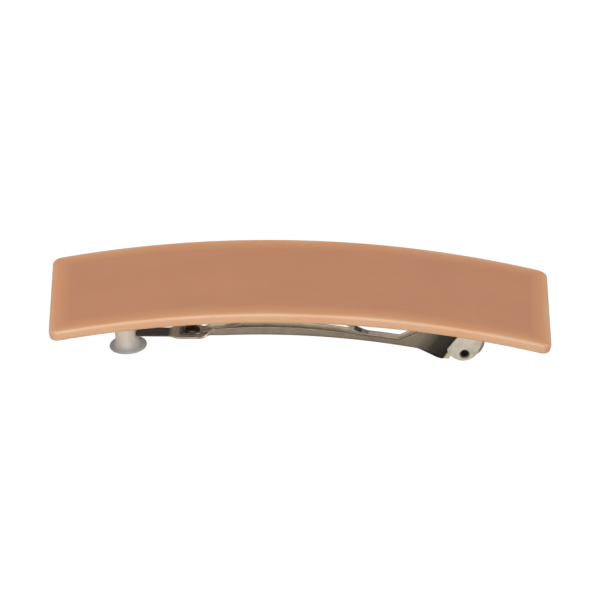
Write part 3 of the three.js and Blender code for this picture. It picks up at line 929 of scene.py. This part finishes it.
def acetate():
    """Opaque tan acetate: faintly clouded, with painted light: its rims and sides are painted paler,
    which brightens the sides and the rounded edge.
    """
    nodes = Nodes("tan_acetate")
    shader = nodes.shader.inputs
    x, y, _ = nodes.axes(nodes.place)
    from_end = nodes.maths("SUBTRACT", PLATE_HIGH.x * MM, nodes.maths("ABSOLUTE", x))
    from_side = nodes.maths("SUBTRACT", PLATE_HIGH.y * MM, nodes.maths("ABSOLUTE", y))
    cloud = nodes.noise(nodes.scaled((1, 1.6, 1.6)), 55, 2.0)
    wobble = nodes.spread_noise(cloud, -PAINTED_LIGHT_WOBBLE, PAINTED_LIGHT_WOBBLE)
    edge = nodes.maths("ADD", nodes.maths("MINIMUM", from_end, from_side), wobble)
    # painted light: the colour runs from the paler rim tans to the face's own tan
    painted_light_share = nodes.remap(edge, 0.0, PAINTED_LIGHT_DEPTH, 0.0, 1.0)
    colour = nodes.ramp(painted_light_share, [(0.0, PAINTED_RIM_LIGHT), (0.35, PAINTED_EDGE_LIGHT), (1.0, FACE_TAN)])
    veil = nodes.ramp(cloud, [(0.3, (0.965, 0.96, 0.955)), (0.7, (1.03, 1.03, 1.03))])
    nodes.join(nodes.times(colour, veil), shader["Base Color"])
    smear = nodes.noise(nodes.scaled((1, 0.5, 1)), 120, 4.0)
    nodes.join(nodes.spread_noise(smear, 0.38, 0.46), shader["Roughness"])
    wave = nodes.noise(nodes.place, 70, 1.0)
    fine = nodes.noise(nodes.place, 2600, 2.0)
    normal = nodes.bump(wave, 0.00003, 0.5)
    nodes.join(nodes.bump(fine, 0.000002, 0.4, normal), shader["Normal"])
    nodes.set(Subsurface_Weight=0.25, Subsurface_Scale=0.0012, IOR=1.48)
    nodes.set(Subsurface_Radius=ACETATE_GLOW)
    return nodes.material


def nylon():
    """Natural nylon: milky, translucent at thin places, with faint flow clouds."""
    nodes = Nodes("natural_nylon")
    shader = nodes.shader.inputs
    cloud = nodes.noise(nodes.scaled((1, 1, 0.35)), 420, 3.0)
    stops = list(zip(NOISE_SPAN, NYLON_SHADES))
    nodes.join(nodes.ramp(cloud, stops), shader["Base Color"])
    nodes.join(nodes.spread_noise(cloud, 0.38, 0.5), shader["Roughness"])
    grain = nodes.noise(nodes.place, 3200, 2.0)
    nodes.join(nodes.bump(grain, 0.000006, 0.5), shader["Normal"])
    nodes.set(Subsurface_Weight=1.0, Subsurface_Scale=0.007, IOR=1.53)
    nodes.set(Subsurface_Radius=NYLON_GLOW)
    return nodes.material


def painted_reflection_bands(nodes, reflection_bands):
    """Painted reflections and shade: a shade painted into the colour that changes along the
    barrette, on a slant, and spares the inside of a channel.
    """
    x, y, z = nodes.axes(nodes.place)
    along = nodes.maths("SUBTRACT", x, nodes.maths("MULTIPLY", z, PAINTED_REFLECTION_SLANT))
    start, end = reflection_bands[0][0], reflection_bands[-1][0]
    share = nodes.remap(along, start * MM, end * MM, 0.0, 1.0)
    stops = [((place - start) / (end - start), (shade,) * 3) for place, shade in reflection_bands]
    # painted shade on the outer faces, band by band along the barrette
    outer_painted_shade = nodes.ramp(share, stops)

    facing = nodes.axes(nodes.add("ShaderNodeTexCoord").outputs["Normal"])
    outward = nodes.maths("MULTIPLY", facing[1], nodes.maths("SIGN", y))
    inside = nodes.remap(outward, -0.3, -0.7, 0.0, 1.0)
    spared = nodes.add("ShaderNodeMixRGB")
    spared.inputs["Color2"].default_value = (1, 1, 1, 1)
    nodes.join(inside, spared.inputs["Fac"])
    nodes.join(outer_painted_shade, spared.inputs["Color1"])
    return spared.outputs[0]


def mottled(nodes, tones, patches, speckle, speckle_range):
    """A colour between a paler and a darker tone, from patches broken up by a speckle."""
    pale, dark = tones
    both = nodes.maths("MULTIPLY", patches, nodes.spread_noise(speckle, *speckle_range))
    return nodes.ramp(both, [(0.3, dark), (0.6, pale)])


def plated_metal(name, tones, roughness, scratch_axis, scratch_depth, metallic=1.0, reflection_bands=None):
    """Nickel plate: drawn lines along one axis, tumbling speckle and uneven brightness; given bands,
    painted reflections and shade as well.
    """
    nodes = Nodes(name)
    shader = nodes.shader.inputs
    stretch = [1.0, 1.0, 1.0]
    stretch[scratch_axis] = 0.06
    lines = nodes.noise(nodes.scaled(stretch), 2600, 3.0, 0.65)
    patches = nodes.noise(nodes.place, 380, 4.0, 0.6)
    speckle = nodes.noise(nodes.place, 3400, 2.0, 0.6)
    base = mottled(nodes, tones, patches, speckle, (0.82, 1.12))
    # bands of painted reflection and shade darken the colour along the barrette
    if reflection_bands is not None:
        base = nodes.times(base, painted_reflection_bands(nodes, reflection_bands))
    nodes.join(base, shader["Base Color"])
    rough = nodes.spread_noise(patches, roughness * 0.8, roughness * 1.25)
    nodes.join(rough, shader["Roughness"])
    normal = nodes.bump(lines, scratch_depth, 0.6)
    nodes.join(nodes.bump(speckle, scratch_depth * 0.7, 0.5, normal), shader["Normal"])
    nodes.set(Metallic=metallic)
    return nodes.material


def tumbled_nickel():
    """The bracket's dull barrel-finished plate, pale and finely pitted."""
    nodes = Nodes("tumbled_nickel")
    shader = nodes.shader.inputs
    patches = nodes.noise(nodes.place, 420, 4.0, 0.6)
    pits = nodes.noise(nodes.place, 2900, 2.0, 0.6)
    base = mottled(nodes, DULL_NICKEL, patches, pits, (0.85, 1.12))
    nodes.join(base, shader["Base Color"])
    nodes.join(nodes.spread_noise(patches, 0.5, 0.62), shader["Roughness"])
    nodes.join(nodes.bump(pits, 0.000012, 0.6), shader["Normal"])
    nodes.set(Metallic=0.35)
    return nodes.material


# ---------------------------------------------------------------- stage


CAMERA_ELEVATION = math.radians(28.5)
CAMERA_YAW = math.radians(-1.0)
CAMERA_ROLL = math.radians(2.0)
CAMERA_DISTANCE = 1.35
VIEW_WIDTH = 0.115
AIM_DROP = 0.00445
AIM_LEFT = 0.00021
SENSOR = 36.0
CLIP = (0.01, 20)

LIGHT_TARGET = Vector((0, 0, 0.01))
FRONT_PANEL = (Vector((-0.1, -1.3, 0.55)), (1.6, 0.5), 11.5)  # place, size, watts
TOP_SOFTBOX = (Vector((-0.1, -0.35, 1.25)), (1.1, 0.9), 11.5)
WORLD_COLOUR = (1.0, 0.985, 0.96, 1)
WORLD_STRENGTH = 0.4

FLOOR_HALF_SIZE = 3.0
FLOOR_COLOUR = (0.68, 0.63, 0.54, 1)
FLOOR_ROUGHNESS = 0.8
FLOOR_GLOW = 1.05
FLOOR_GLOW_SHARE = 0.96


def direction(angle_round, elevation):
    """A unit vector, from the front towards +X and upwards."""
    flat = math.cos(elevation)
    x, y = math.sin(angle_round) * flat, -math.cos(angle_round) * flat
    return Vector((x, y, math.sin(elevation)))


def make_camera():
    """A long lens from in front and above, rolled as the barrette leans on its foot."""
    data = bpy.data.cameras.new("camera")
    camera = linked("camera", data)
    back = direction(CAMERA_YAW, CAMERA_ELEVATION)
    turn = back.to_track_quat("Z", "Y").to_matrix() @ Matrix.Rotation(CAMERA_ROLL, 3, "Z")
    apex = Vector((0, 0, PLATE_TOP * MM))
    aim = apex - turn @ Vector((AIM_LEFT, AIM_DROP, 0))
    camera.matrix_world = Matrix.Translation(aim + back * CAMERA_DISTANCE) @ turn.to_4x4()
    data.sensor_width = SENSOR
    data.lens = SENSOR * CAMERA_DISTANCE / VIEW_WIDTH
    data.clip_start, data.clip_end = CLIP
    bpy.context.scene.camera = camera


def area_light(name, place, size, watts):
    """A soft rectangular light, turned towards the barrette."""
    data = bpy.data.lights.new(name, "AREA")
    data.shape = "RECTANGLE"
    data.size, data.size_y = size
    data.energy = watts
    turn = (place - LIGHT_TARGET).to_track_quat("Z", "Y").to_matrix().to_4x4()
    linked(name, data).matrix_world = Matrix.Translation(place) @ turn


def white_table():
    """A soft white that lights the barrette warmly from below and looks plain to the camera."""
    nodes = Nodes("white_table")
    nodes.set(Roughness=FLOOR_ROUGHNESS, Base_Color=FLOOR_COLOUR)
    glow = nodes.add("ShaderNodeEmission")
    glow.inputs["Strength"].default_value = FLOOR_GLOW
    mix = nodes.add("ShaderNodeMixShader")
    seen = nodes.add("ShaderNodeLightPath").outputs["Is Camera Ray"]
    nodes.join(nodes.maths("MULTIPLY", seen, FLOOR_GLOW_SHARE), mix.inputs[0])
    nodes.join(nodes.shader.outputs[0], mix.inputs[1])
    nodes.join(glow.outputs[0], mix.inputs[2])
    nodes.join(mix.outputs[0], nodes.tree.nodes["Material Output"].inputs["Surface"])
    return nodes.material


def make_floor():
    """A wide white table, tilted as the barrette stands on its foot's rim and the hinge lugs."""
    steps = spread(-FLOOR_HALF_SIZE, FLOOR_HALF_SIZE, 2)
    points = [(x, y, 0) for x in steps for y in steps]
    floor = new_object("floor", points, grid_faces(len(steps), len(steps)))
    contact = Vector((POST_LOW.x * MM, 0, 0))
    slope = math.atan2(BRACKET_LOW.z * MM, HINGE.x * MM - contact.x)
    floor.matrix_world = Matrix.Translation(contact) @ Matrix.Rotation(-slope, 4, "Y")
    floor.data.materials.append(white_table())


def make_world():
    world = bpy.data.worlds.new("studio")
    world.use_nodes = True
    background = world.node_tree.nodes["Background"]
    background.inputs["Color"].default_value = WORLD_COLOUR
    background.inputs["Strength"].default_value = WORLD_STRENGTH
    bpy.context.scene.world = world


# ---------------------------------------------------------------- assembly


def add_piece(obj, body, node, material):
    """Gives a piece its material and the body it rides on, and hides the CAD node it stands in for.
    """
    obj.data.materials.clear()
    obj.data.materials.append(material)
    if body is not None:
        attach(obj, body)
    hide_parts(node)
    return obj


make_camera()
make_world()
area_light("front_panel", *FRONT_PANEL)
area_light("top_softbox", *TOP_SOFTBOX)
make_floor()

plated = tumbled_nickel()
polished = plated_metal("polished_nickel", ARM_NICKEL, 0.38, 0, 0.000003, 0.45, ARM_PAINTED_REFLECTIONS)
spring = plated_metal("spring_strip", SPRING_NICKEL, 0.32, 0, 0.000004, 0.7, BOW_PAINTED_REFLECTIONS)
upset = plated_metal("upset_steel", DARK_RIVET_STEEL, 0.45, 1, 0.000006)
pin_steel = plated_metal("pin_steel", PIN_STEEL, 0.35, 1, 0.000006)

add_piece(make_plate(), "plate", "top_plate", acetate())
add_piece(make_bracket(), "plate", "hinge_bracket", plated)
add_piece(make_pin(), "plate", "hinge_pin", pin_steel)
for side in ("inner", "outer"):
    node = f"bracket_rivet_{side}"
    add_piece(make_bracket_rivet(f"rivet_{side}", node), "plate", node, plated)

post = add_piece(make_post(), None, "catch_post", nylon())
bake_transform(post)

add_piece(make_arm(), "arm", "clasp_arm", polished)
for rivet in make_bow_rivet():
    add_piece(rivet, "arm", "bow_rivet", upset)

bow = add_piece(make_bow(), "arm", "tension_bow", spring)
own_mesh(bow)

bpy.context.scene.view_settings.view_transform = "Standard"
